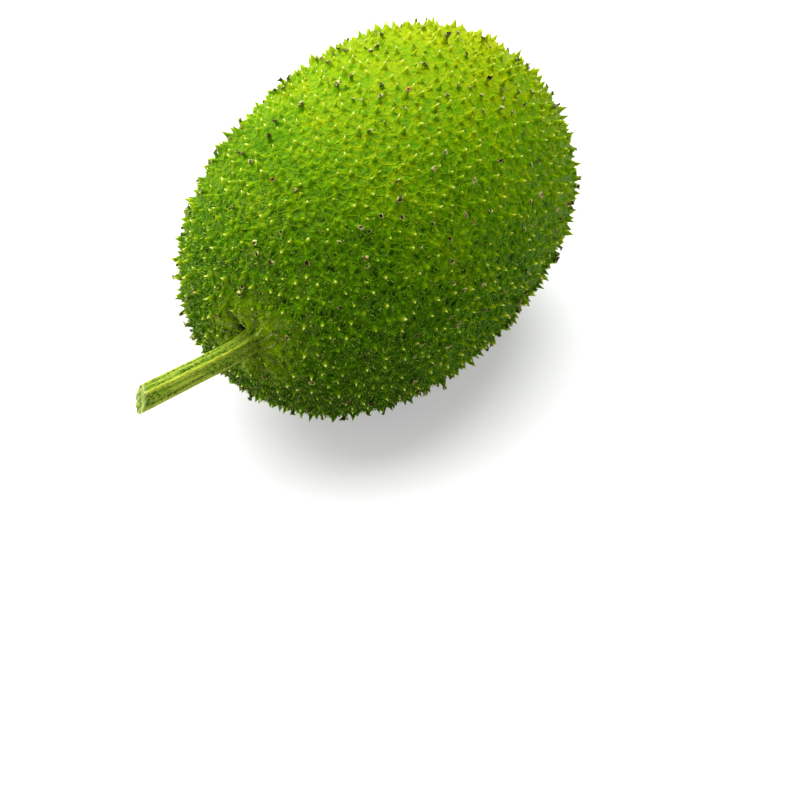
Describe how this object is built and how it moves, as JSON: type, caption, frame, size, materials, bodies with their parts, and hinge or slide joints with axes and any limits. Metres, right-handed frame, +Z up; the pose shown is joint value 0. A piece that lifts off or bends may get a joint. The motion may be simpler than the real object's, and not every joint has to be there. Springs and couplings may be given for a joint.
{
  "type": "spiny gourd",
  "caption": "Egg-shaped green gourd covered in short pointed spines, lying on its side, with its cut ribbed stem.",
  "frame": {"origin": "on the surface that the fruit lies on, in the flat resting spot, straight below the centre of weight", "axes": "+X along the fruit from its stem end to its blossom end, +Z up from the resting spot, +Y to the left looking along +X"},
  "size_m": [0.0984, 0.0542, 0.0509],
  "materials": {
    "fruit": "waxy green rind, satin on the spines' flanks and duller in the pits",
    "stem": "fibrous, matt, with paler ribs and a pale cut end"
  },
  "bodies": {
    "root": {"gourd_fruit": "fruit", "fruit_stem": "stem"}
  },
  "joints": []
}
